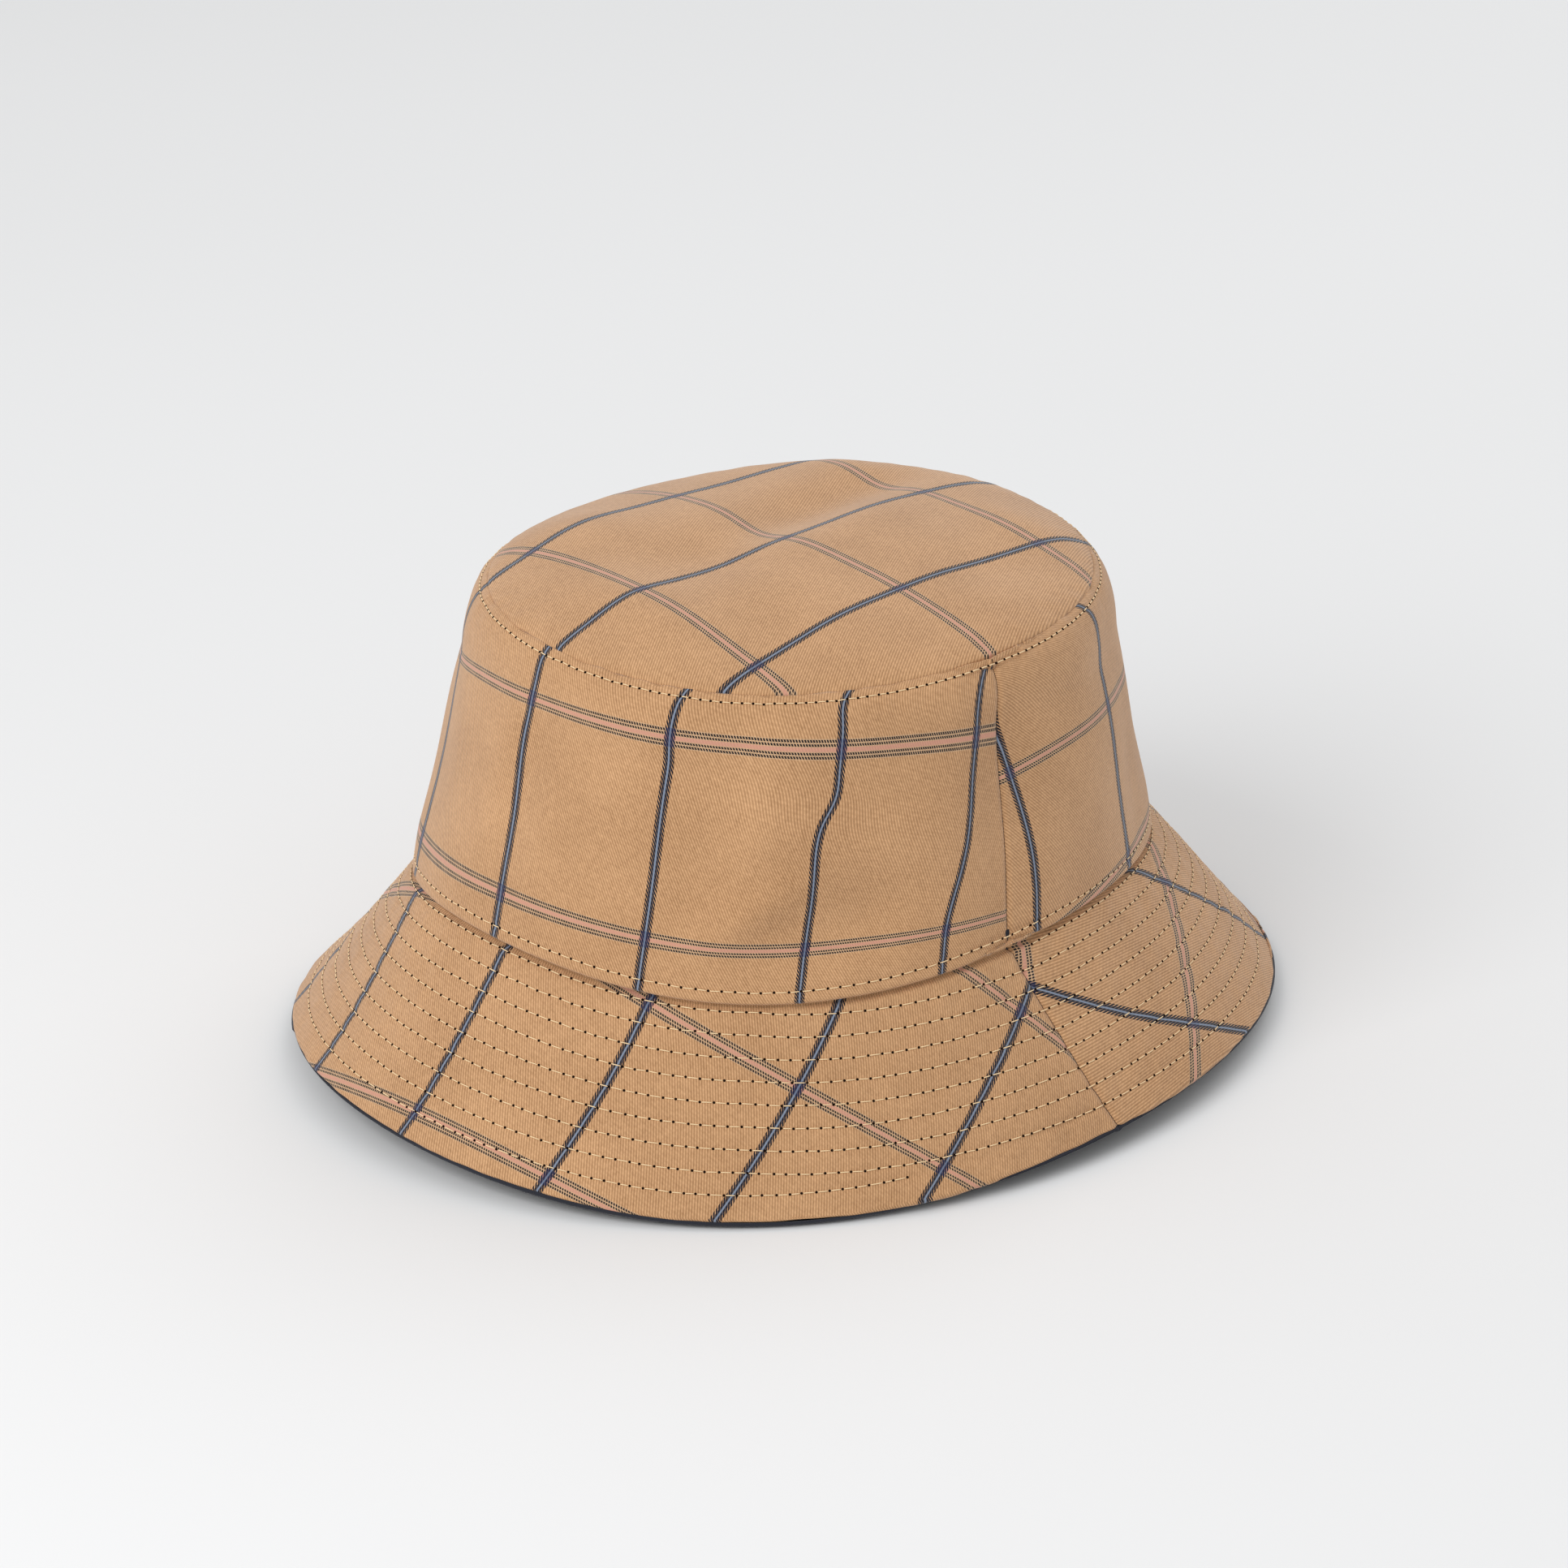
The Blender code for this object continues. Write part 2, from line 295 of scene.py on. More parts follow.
def tip_relief(x, y, share):
    """Crown tip: its dents, and small puckers where it is sewn."""
    out = 0.3 * wander(x, y, 0.0 * x, 34.0, 21)
    for u, v, reach_u, reach_v, turn, height in TIP_SWELLS:
        out = out + swell(x - u, y - v, reach_u, reach_v, turn, height)
    return out * (1 - share ** 8) + 0.10 * wander(x, y, 0.0 * x, 6.0, 22) * share ** 12


# --- Meshes ---------------------------------------------------------------------------------

# How the cloth lies on each panel's flat pattern, once for the blue lines and once for the pink:
# shift, then share of right and of down, then its pull as right^2, right*down, down^2,
# right^2*down and right*down^2, per 100 mm. The values of the four curved panels are rounded
# results of a second least-squares fit, a few of them changed since.
LINES = {
    "side_front": ((2.9, 1.01, -0.02, 0.03, -0.16, -0.04, 0.08, 0.06),
                   (14.4, -0.14, -0.99, 0.03, 0.53, 0.10, -0.21, -0.55)),
    "side_back": ((-7.2, 0.955, 0.24, 0.02, -0.13, -0.86, -0.19, -0.90),
                  (42.9, 0.242, -0.97, -0.03, 0.18, -0.30, 0.09, -0.33)),
    "brim_front": ((-4.6, 0.977, -0.063, 0.03, 0.109, 0.26, 0.01, -0.075),
                   (-3.7, -0.021, -0.885, 0.0, -0.106, -0.096, 0.0, 0.046)),
    "brim_back": ((-11.2, 0.954, -0.293, 0.076, 0.16, 0.405, 0.11, 0.40),
                  (-20.9, -0.229, -0.958, -0.034, -0.48, 0.32, -0.376, 0.425)),
    "tip": ((2.6, 1.0, 0.0, 0.0, 0.0, 0.0, 0.0, 0.0),
            (-0.7, 0.0, 0.96, 0.0, 0.0, 0.0, 0.0, 0.0)),
}
# Local sway of the blue lines: right, down, reach right, reach down, shift to the right
DRIFT = {
    "side_front": ((81.0, 11.0, 24.0, 8.5, 3.2), (81.0, 31.0, 24.0, 12.0, -1.4),
                   (81.0, 80.0, 24.0, 10.0, 1.1), (81.0, 1.0, 24.0, 5.0, 1.3),
                   (81.0, 11.5, 24.0, 5.0, -1.2), (81.0, 20.5, 24.0, 5.5, 1.3),
                   (-3.0, 10.0, 15.0, 10.0, 1.3), (118.0, 30.0, 14.0, 12.0, 1.2),
                   (118.0, 52.0, 14.0, 10.0, -0.9)),
}
PULL_REACH = {  # leftmost and rightmost place where each panel's pull still grows
    "side_front": (-95.0, 150.0), "side_back": (-160.0, -80.0), "brim_front": (-110.0, 170.0),
    "brim_back": (-175.0, -80.0), "tip": (-90.0, 90.0),
}


def cloth_uv(name, right, down):
    """Distance over the cloth across the blue lines and across the pink ones, in metres."""
    u, v = np.clip(right, *PULL_REACH[name]) / 100, down / 100
    terms = (np.ones_like(u), right, down, 100 * u * u, 100 * u * v, 100 * v * v,
             100 * u * u * v, 100 * u * v * v)
    blue, pink = (sum(c * term for c, term in zip(shares, terms)) for shares in LINES[name])
    for x, y, reach_x, reach_y, shift in DRIFT.get(name, ()):
        blue = blue - swell(right - x, down - y, reach_x, reach_y, 0.0, shift)
    return np.stack([blue, pink], -1) * MM


def normals(points, closed=False):
    """Outward unit normals of a grid whose rows run down and columns run to the right."""
    down = np.gradient(points, axis=0)
    if closed:
        right = np.roll(points, -1, 1) - np.roll(points, 1, 1)
    else:
        right = np.gradient(points, axis=1)
    n = np.cross(down, right)
    return n / np.maximum(np.linalg.norm(n, axis=-1, keepdims=True), 1e-9)


def new_mesh(name, verts, faces, uv=None):
    """Mesh object from arrays in millimetres; faces is (n, 3) or (n, 4)."""
    mesh = bpy.data.meshes.new(name)
    size = faces.shape[1]
    mesh.vertices.add(len(verts))
    mesh.vertices.foreach_set("co", (verts * MM).astype(np.float32).ravel())
    mesh.loops.add(faces.size)
    mesh.loops.foreach_set("vertex_index", faces.astype(np.int32).ravel())
    mesh.polygons.add(len(faces))
    mesh.polygons.foreach_set("loop_start", np.arange(0, faces.size, size, dtype=np.int32))
    if uv is not None:
        layer = mesh.uv_layers.new(name="cloth")
        layer.data.foreach_set("uv", uv[faces.ravel()].astype(np.float32).ravel())
    mesh.update(calc_edges=True)
    mesh.validate()
    mesh.shade_smooth()
    obj = bpy.data.objects.new(name, mesh)
    bpy.context.scene.collection.objects.link(obj)
    return obj


def grid_faces(rows, cols, closed, inward):
    """Quads of a grid, facing outward, or inward."""
    r, c = np.meshgrid(np.arange(rows - 1), np.arange(cols if closed else cols - 1), indexing="ij")
    nxt = (c + 1) % cols
    quad = np.stack([r * cols + c, (r + 1) * cols + c, (r + 1) * cols + nxt, r * cols + nxt], -1)
    quad = quad.reshape(-1, 4)
    return quad[:, ::-1] if inward else quad


def thicken(obj, thickness, material):
    """Gives a sheet its thickness on the side away from its faces, and its material."""
    solid = obj.modifiers.new("cloth", "SOLIDIFY")
    solid.thickness = thickness * MM
    solid.offset = -1.0
    obj.data.materials.append(material)
    return obj


CUT = {}        # each panel's flat width, length and area, in metres


def cloth_area(obj):
    """Area of a sheet before it gets its thickness."""
    return sum(face.area for face in obj.data.polygons)


def sweep(name, section, s, half, relief, grain, material, face_length, columns=400,
          inward=False, thickness=CLOTH, gap=SEAM_GAP, valley=0.0):
    """One half panel: its section swept between the two side seams.

    s is each section point's distance along the face; points before 0 or past face_length are
    the turned-in edges."""
    z = section[:, 1]
    t = panel_angles(half, z, columns)
    m = section[:, 0][:, None]
    trim = gap / np.maximum(m, 1.0)
    t = np.clip(t, t[:, :1] + trim, t[:, -1:] - trim)
    points = place(m, z[:, None], t)
    width = np.linalg.norm(np.diff(points, axis=1), axis=-1)
    walked = np.concatenate([np.zeros((len(s), 1)), np.cumsum(width, axis=1)], 1)
    to_seam = np.minimum(walked, walked[:, -1:] - walked)
    height = relief(s[:, None], t) + groove(to_seam, 0.5, 0.8) + groove(to_seam, valley, 9.0)
    n = normals(points)
    if inward:
        height = -height
    on_face = (s >= 0) & (s <= face_length)
    right, down = np.zeros(t.shape), np.zeros(t.shape)
    right[on_face], down[on_face] = develop(points[on_face])
    first, last = np.flatnonzero(on_face)[[0, -1]]
    for rows, edge in ((slice(0, first), first), (slice(last + 1, None), last)):
        right[rows] = right[edge]
        down[rows] = down[edge] + (s[rows] - s[edge])[:, None]
    points = points + n * height[..., None]
    uv = cloth_uv(grain, right, down) if grain else np.stack([right, down], -1) * MM
    faces = grid_faces(len(s), columns, False, inward)
    obj = new_mesh(name + "_cloth", points.reshape(-1, 3) + [0, 0, LIFT], faces, uv.reshape(-1, 2))
    CUT[obj.name] = (np.ptp(right) * MM, np.ptp(down) * MM, cloth_area(obj))
    return thicken(obj, thickness, material)


def with_edges(face, before, after):
    """A face path with turned-in edges: the joined path and each point's distance along it."""
    run = run_length(face)
    parts, spans = [face], [run]
    if len(before):
        lead = run_length(np.concatenate([before, face[:1]]))
        parts.insert(0, before)
        spans.insert(0, lead[:-1] - lead[-1])
    if len(after):
        tail = run_length(np.concatenate([face[-1:], after]))
        parts.append(after)
        spans.append(run[-1] + tail[1:])
    return np.concatenate(parts), np.concatenate(spans)


def arc(centre, radius, start, end, count):
    """Points of an arc in the section's plane, angles in degrees."""
    a = np.radians(np.linspace(start, end, count))
    return np.stack([centre[0] + radius * np.cos(a), centre[1] + radius * np.sin(a)], -1)


RIM_ROWS, RIM_OUT = 5, 0.3      # rows of a tip's turned-down rim, and how far it stands out


def polar_sheet(name, radius, top, rise, drop, relief, grain, material, inward=False,
                rings=70, columns=480):
    """A domed round sheet with its rim turned down by drop."""
    share = np.sin(np.linspace(0.02, 1.0, rings) * math.pi / 2)[::-1]
    height = top + rise * np.maximum(1 - share ** 2, 0) ** DOME_POWER
    depths = np.linspace(drop, 0.4, RIM_ROWS)
    m = np.concatenate([np.full(RIM_ROWS, radius + RIM_OUT),
                        radius * share + RIM_OUT * share ** 30])
    z = np.concatenate([top - depths, height])
    share = np.concatenate([np.ones(RIM_ROWS), share])
    t = np.linspace(0, TAU, columns, endpoint=False)[None]
    points = place(m[:, None], z[:, None], t)
    bump = relief(points[..., 0], points[..., 1], share[:, None])
    n = -normals(points, closed=True)
    points = points + n * bump[..., None]
    faces = grid_faces(len(m), columns, True, not inward)
    middle = points[-1].mean(0)
    verts = np.concatenate([points.reshape(-1, 3), middle[None]])
    plane = verts[:, :2]
    uv = cloth_uv(grain, plane[:, 0], plane[:, 1]) if grain else plane * MM
    ring = (len(m) - 1) * columns + np.arange(columns)
    cap = np.stack([ring, np.roll(ring, -1), np.full(columns, len(verts) - 1)], -1)
    if inward:
        cap = cap[:, ::-1]
    tris = np.concatenate([faces[:, [0, 1, 2]], faces[:, [0, 2, 3]], cap])
    obj = new_mesh(name + "_cloth", verts + [0, 0, LIFT], tris, uv)
    across = [np.linalg.norm(np.diff(points[:, c], axis=0), axis=1).sum() * 2
              for c in (0, columns // 4)]
    CUT[obj.name] = (across[0] * MM, across[1] * MM, cloth_area(obj))
    return thicken(obj, CLOTH, material)


# --- Materials ------------------------------------------------------------------------------

class Value:
    """A number in a material's node tree; arithmetic on it adds Math nodes."""

    def __init__(self, tree, socket):
        self.tree, self.socket = tree, socket

    def math(self, operation, *others, clamp=False):
        node = self.tree.nodes.new("ShaderNodeMath")
        node.operation = operation
        node.use_clamp = clamp
        for slot, value in zip(node.inputs, (self, *others)):
            if isinstance(value, Value):
                self.tree.links.new(value.socket, slot)
            else:
                slot.default_value = value
        return Value(self.tree, node.outputs[0])

    def __add__(self, other):
        return self.math("ADD", other)

    def __sub__(self, other):
        return self.math("SUBTRACT", other)

    def __mul__(self, other):
        return self.math("MULTIPLY", other)

    def size(self):
        return self.math("ABSOLUTE")

    def largest(self, other):
        return self.math("MAXIMUM", other)

    def clamped(self):
        """The value held between 0 and 1."""
        return self.math("ADD", 0.0, clamp=True)

    def from_line(self, spacing):
        """Signed distance to the nearest of a set of even lines."""
        return self.math("WRAP", spacing / 2, -spacing / 2)

    def within(self, centre, half, soft):
        """1 where the value is inside centre +- half, 0 outside, with soft edges."""
        return ((self - centre).size() * (-1 / soft)).math("ADD", half / soft + 0.5, clamp=True)

    def waves(self, period):
        """A cosine between 0 and 1 with the given period."""
        return (self * (TAU / period)).math("COSINE") * 0.5 + 0.5


class Look:
    """A Principled material with the node helpers that the cloths and threads share."""

    def __init__(self, name, roughness, sheen=0.0, specular=0.3):
        self.material = bpy.data.materials.new(name)
        self.material.use_nodes = True
        self.tree = self.material.node_tree
        self.shader = self.tree.nodes["Principled BSDF"]
        self.shader.inputs["Roughness"].default_value = roughness
        self.shader.inputs["Specular IOR Level"].default_value = specular
        self.shader.inputs["Sheen Weight"].default_value = sheen

    def cloth_position(self):
        """Millimetres over the cloth, across the blue lines and across the pink ones."""
        layer = self.tree.nodes.new("ShaderNodeUVMap")
        layer.uv_map = "cloth"
        parts = self.tree.nodes.new("ShaderNodeSeparateXYZ")
        self.tree.links.new(layer.outputs["UV"], parts.inputs[0])
        return tuple(Value(self.tree, parts.outputs[i]) * (1 / MM) for i in (0, 1))

    def noise(self, scale, detail):
        """Noise in the object's own space, scale in waves per metre, about 0 to 1."""
        coordinates = self.tree.nodes.new("ShaderNodeTexCoord")
        node = self.tree.nodes.new("ShaderNodeTexNoise")
        node.inputs["Scale"].default_value = scale
        node.inputs["Detail"].default_value = detail
        self.tree.links.new(coordinates.outputs["Object"], node.inputs["Vector"])
        return Value(self.tree, node.outputs["Fac"])

    def mix(self, factor, low, high):
        """Colour between low and high; either may be a colour or a socket."""
        node = self.tree.nodes.new("ShaderNodeMix")
        node.data_type = "RGBA"
        for index, value in ((0, factor), (6, low), (7, high)):
            slot = node.inputs[index]
            if isinstance(value, Value):
                self.tree.links.new(value.socket, slot)
            elif isinstance(value, bpy.types.NodeSocket):
                self.tree.links.new(value, slot)
            elif isinstance(value, tuple):
                slot.default_value = (*value, 1.0)
            else:
                slot.default_value = value
        return node.outputs[2]

    def finish(self, colour, height=None, relief=0.1, strength=1.0):
        """Joins the colour, and the height in millimetres of relief, to the shader."""
        self.tree.links.new(colour, self.shader.inputs["Base Color"])
        if height is not None:
            bump = self.tree.nodes.new("ShaderNodeBump")
            bump.inputs["Distance"].default_value = relief * MM
            bump.inputs["Strength"].default_value = strength
            self.tree.links.new(height.socket, bump.inputs["Height"])
            self.tree.links.new(bump.outputs["Normal"], self.shader.inputs["Normal"])
        return self.material


BLUE_EVERY, PINK_EVERY = 42.0, 48.0        # spacing of the lines over the cloth
BLUE_DASH, PINK_DASH = 0.56, 0.35          # half the spacing of the dashes along a line
DASH_SLANT_BLUE, DASH_SLANT_PINK = 1.66, 0.6
RIB, RIB_BEAD, RIB_ANGLE = 0.66, 1.25, math.radians(31)
# TAN_DARK to TAN_LIGHT spans the painted shade and highlight of the twill ribs, and the yarn's own
# uneven tone
TAN_LIGHT, TAN_DARK = (0.745, 0.440, 0.228), (0.27, 0.130, 0.052)
CREAM, PLUM, NAVY = (0.66, 0.52, 0.36), (0.014, 0.009, 0.010), (0.003, 0.004, 0.012)
SLATE = (0.055, 0.062, 0.085)
GREY_BLUE, SALMON, VIOLET = (0.22, 0.29, 0.40), (0.58, 0.28, 0.20), (0.012, 0.014, 0.085)


def checked_twill():
    """Camel twill, the highlight and shade of its ribs painted into the colour, with thin blue
    lines one way and wider salmon lines the other.
    """
    look = Look("checked_twill", roughness=0.85, sheen=0.26, specular=0.20)
    p, q = look.cloth_position()
    ca, sa = math.cos(RIB_ANGLE), math.sin(RIB_ANGLE)
    across_rib = p * ca + q * sa
    along_rib = q * ca - p * sa
    rib = across_rib.waves(RIB)
    bead = (along_rib + across_rib * 0.9).waves(RIB_BEAD)
    height = rib * (bead * 0.35 + 0.65)
    slub = look.noise(900.0, 2.0)
    fade = look.noise(45.0, 3.0)
    # the rib term is painted highlight and shade of the ribs; slub and fade are the yarn's own
    # uneven tone
    tone = height * 0.6 + (slub - 0.5) * 0.5 + (fade - 0.5) * 0.35 + 0.25
    colour = look.mix(tone.clamped(), TAN_DARK, TAN_LIGHT)

    # pink line: a plain salmon stripe between two rows of short dark dashes each side
    d = q.from_line(PINK_EVERY)
    far = d.size()
    dashes = (p + d * DASH_SLANT_PINK).math("PINGPONG", PINK_DASH).within(0.0, 0.24, 0.06)
    rows = far.within(0.84, 0.25, 0.08).largest(far.within(1.62, 0.28, 0.08))
    pink_band = far.within(0.0, 2.05, 0.15)
    colour = look.mix(pink_band * 0.30, colour, CREAM)
    colour = look.mix(rows * dashes, colour, PLUM)
    colour = look.mix(far.within(0.0, 0.45, 0.12) * 0.85, colour, SALMON)

    # blue line: a grey-blue centre between two rows of navy dashes each side
    d = p.from_line(BLUE_EVERY)
    near = d.size()
    dashes = (q + d * DASH_SLANT_BLUE).math("PINGPONG", BLUE_DASH).within(0.0, 0.37, 0.05)
    rows = near.within(0.52, 0.26, 0.06).largest(near.within(1.12, 0.31, 0.06))
    blue_band = near.within(0.0, 1.28, 0.1)
    colour = look.mix(near.within(0.0, 0.82, 0.1) * 0.85, colour, SLATE)
    colour = look.mix(rows * dashes, colour, NAVY)
    colour = look.mix(near.within(0.0, 0.21, 0.1) * 0.8, colour, GREY_BLUE)
    colour = look.mix(pink_band * blue_band * 0.35, colour, VIOLET)
    return look.finish(colour, height, relief=0.10, strength=0.8)


def dark_lining():
    """Near-black navy plain weave."""
    look = Look("dark_lining", roughness=0.8, sheen=0.1)
    p, q = look.cloth_position()
    weave = p.waves(0.5) * q.waves(0.5)
    fade = look.noise(60.0, 3.0)
    tone = (weave * 0.5 + fade * 0.5).clamped()
    colour = look.mix(tone, (0.010, 0.011, 0.017), (0.026, 0.029, 0.045))
    return look.finish(colour, weave, relief=0.05, strength=0.6)


def interlining():
    """Pale non-woven stiffener."""
    look = Look("interlining", roughness=0.9)
    colour = look.mix(look.noise(700.0, 4.0), (0.5, 0.48, 0.43), (0.7, 0.68, 0.62))
    return look.finish(colour, look.noise(1500.0, 2.0), relief=0.1)


def sewing_thread():
    """Pale straw polyester thread."""
    look = Look("sewing_thread", roughness=0.55, sheen=0.1, specular=0.4)
    twist = look.noise(4000.0, 1.0)
    colour = look.mix(twist, (0.76, 0.53, 0.28), (0.92, 0.72, 0.45))
    return look.finish(colour, twist, relief=0.03)


def needle_hole_shade():
    """Painted shade of the needle holes: near-black colour for the discs where the needle went
    through.
    """
    look = Look("needle_hole_shade", roughness=1.0, specular=0.0)
    colour = look.mix(look.noise(3000.0, 1.0), (0.006, 0.003, 0.002), (0.016, 0.008, 0.005))
    return look.finish(colour)


# --- The pieces -------------------------------------------------------------------------------

class Face:
    """A swept face, to find points on it for stitches."""

    def __init__(self, section, relief):
        self.section, self.relief = section, relief
        self.run = run_length(section)

    def bare(self, s, t):
        """Points on the section's smooth sweep, without the relief."""
        m = np.interp(s, self.run, self.section[:, 0])
        z = np.interp(s, self.run, self.section[:, 1])
        return place(m, z, t)

    def at(self, s, t):
        """Points on the face, and its outward normals."""
        down = self.bare(s + 0.4, t) - self.bare(s - 0.4, t)
        right = self.bare(s, t + 0.004) - self.bare(s, t - 0.004)
        n = np.cross(down, right)
        n /= np.linalg.norm(n, axis=-1, keepdims=True)
        return self.bare(s, t) + n * self.relief(s, t)[..., None], n


def even_angles(face, distance, turns, pitch):
    """Angles along a row of stitches, one pitch apart on the cloth; distance is a function."""
    t = np.linspace(0.0, turns * TAU, int(turns * 720))
    path = face.bare(distance(t / TAU), t)
    run = np.concatenate([[0.0], np.cumsum(np.linalg.norm(np.diff(path, axis=0), axis=1))])
    count = int(run[-1] / pitch)
    return np.interp(np.linspace(0.0, run[-1], count + 1), run, t)


THREAD_R, THREAD_SIDES = 0.145, 6
# the dark discs over the needle holes are painted shade: their radius, and heights above the cloth
HOLE_R, HOLE_EDGE, HOLE_MIDDLE = 0.37, 0.12, 0.17       # radius, and heights above the cloth


def stitches(name, face, distance, turns, pitch, materials, seed, side=1.0):
    """A row of lockstitches: each thread arches from one needle hole to the next."""
    draw = np.random.default_rng(seed)
    t = even_angles(face, distance, turns, pitch)
    t = t + draw.normal(0, 0.06, len(t)) * pitch / HEAD_R
    s = distance(t / TAU) + draw.normal(0, 0.05, len(t))
    holes, n = face.at(s, t)
    n = n * side
    start, end = holes[:-1], holes[1:]
    up = n[:-1] + n[1:]
    up /= np.linalg.norm(up, axis=-1, keepdims=True)
    along = end - start
    forward = along / np.linalg.norm(along, axis=-1, keepdims=True)
    sideways = np.cross(up, forward)
    f = np.array([0.09, 0.16, 0.26, 0.42, 0.58, 0.72, 0.83, 0.90])
    lift = THREAD_R * np.array([-0.6, 0.7, 1.5, 1.6, 1.4, 1.0, 0.4, -0.7])
    thick = THREAD_R * np.array([0.5, 0.85, 1.0, 1.0, 1.0, 0.95, 0.75, 0.45])
    a = np.arange(THREAD_SIDES) / THREAD_SIDES * TAU
    core = start[:, None] + along[:, None] * f[:, None] + up[:, None] * lift[:, None]
    ringed = (core[:, :, None]
              + sideways[:, None, None] * (thick[:, None] * np.cos(a))[..., None]
              + up[:, None, None] * (thick[:, None] * np.sin(a))[..., None])
    count, rings = ringed.shape[:2]
    one = grid_faces(rings, THREAD_SIDES, True, False)
    first = np.arange(count) * rings * THREAD_SIDES
    quads = (one[None] + first[:, None, None]).reshape(-1, 4)
    thread = new_mesh(name, ringed.reshape(-1, 3) + [0, 0, LIFT], quads)
    thread.data.materials.append(materials[0])

    # near-black discs over each needle hole: painted shade of the holes
    across = np.cross(n, np.roll(n, 1, axis=1))
    across /= np.linalg.norm(across, axis=-1, keepdims=True)
    other = np.cross(n, across)
    disc = holes[:, None] + n[:, None] * HOLE_EDGE + HOLE_R * (
        across[:, None] * np.cos(a)[:, None] + other[:, None] * np.sin(a)[:, None])
    middle = holes + n * HOLE_MIDDLE
    verts = np.concatenate([disc.reshape(-1, 3), middle])
    ring = np.arange(len(holes) * THREAD_SIDES).reshape(-1, THREAD_SIDES)
    tip = np.repeat(ring.size + np.arange(len(holes))[:, None], THREAD_SIDES, axis=1)
    tris = np.stack([ring, np.roll(ring, -1, axis=1), tip], -1).reshape(-1, 3)
    shade_discs = new_mesh(name + "_hole_shadows", verts + [0, 0, LIFT], tris)
    shade_discs.data.materials.append(materials[1])
    return thread, shade_discs


CROWN, BRIM = crown_section(), brim_section()
CROWN_LENGTH, BRIM_LENGTH = run_length(CROWN)[-1], run_length(BRIM)[-1]
EDGE_BAND = 1.4                     # the dark cloth under the brim shows below the outer cloth
ROLL_SHOWS, ROLL_BACK = 290.0, 1.2  # it shows most at this angle, and draws back elsewhere
FOLD_R = 0.9                        # bottom fold of the crown
UNDER_DEPTH, FELT_DEPTH = 2.9, 0.8  # the dark cloth and the stiffener below the brim's face
FELT_FROM, FELT_SHORT = 7.0, 9.0    # bare brim at the stiffener's inner and outer edges


def crown_relief(s, t):
    """Fine shape of the whole side panel."""
    return side_relief(s, t, CROWN_LENGTH)


def beside_edge(places):
    """Section points given as (outward along the brim, inward from its face) from its edge."""
    along = BRIM[-1] - BRIM[-6]
    along /= np.hypot(*along)
    up = np.array([-along[1], along[0]])
    return np.array([BRIM[-1] + along * x - up * y for x, y in places])


def lowest_edge():
    """Lowest point of the brim edge as placed, to stand the hat on the floor."""
    t = np.linspace(0, TAU, 720)
    return place(np.array(BRIM_R), np.array(-0.6), t)[..., 2].min()


CLEARANCE = 0.15                    # keeps the lowest roll of cloth off the floor
LIFT = CLOTH + CLEARANCE - lowest_edge()


def build_outer(twill):
    """Outer crown and brim cloth."""
    lip = np.array([[TIP_R, LEVELS[2] - 3.0], [TIP_R, LEVELS[2] - 1.4],
                    [TIP_R, LEVELS[2] - 0.5]])
    fold = arc((HEAD_R - FOLD_R, LEVELS[1] + 0.1), FOLD_R, 0, -150, 9)[1:]
    side, side_s = with_edges(CROWN, lip, fold)
    out = {}
    for half in ("front", "back"):
        out["side_" + half] = sweep("outer_side_" + half, side, side_s, half, crown_relief,
                                    "side_" + half, twill, CROWN_LENGTH, valley=1.2)
    face = BRIM[run_length(BRIM) <= BRIM_LENGTH - EDGE_BAND]
    tuck = face[-1] - BRIM[-1] + beside_edge(
        ((0.35, 0.08), (0.6, 0.3), (0.7, 0.62), (0.6, 1.0), (0.2, 1.3)))
    start = np.array([BRIM[0] + [-0.6, 2.0], BRIM[0] + [-0.3, 1.0]])
    brim, brim_s = with_edges(face, start, tuck)
    length = run_length(face)[-1]
    for half in ("front", "back"):
        out["brim_" + half] = sweep("outer_brim_" + half, brim, brim_s, half, brim_relief,
                                    "brim_" + half, twill, length, columns=460)
    out["tip"] = polar_sheet("outer_tip", TIP_R, LEVELS[2], DOME_RISE, 2.8, tip_relief,
                             "tip", twill)
    return out


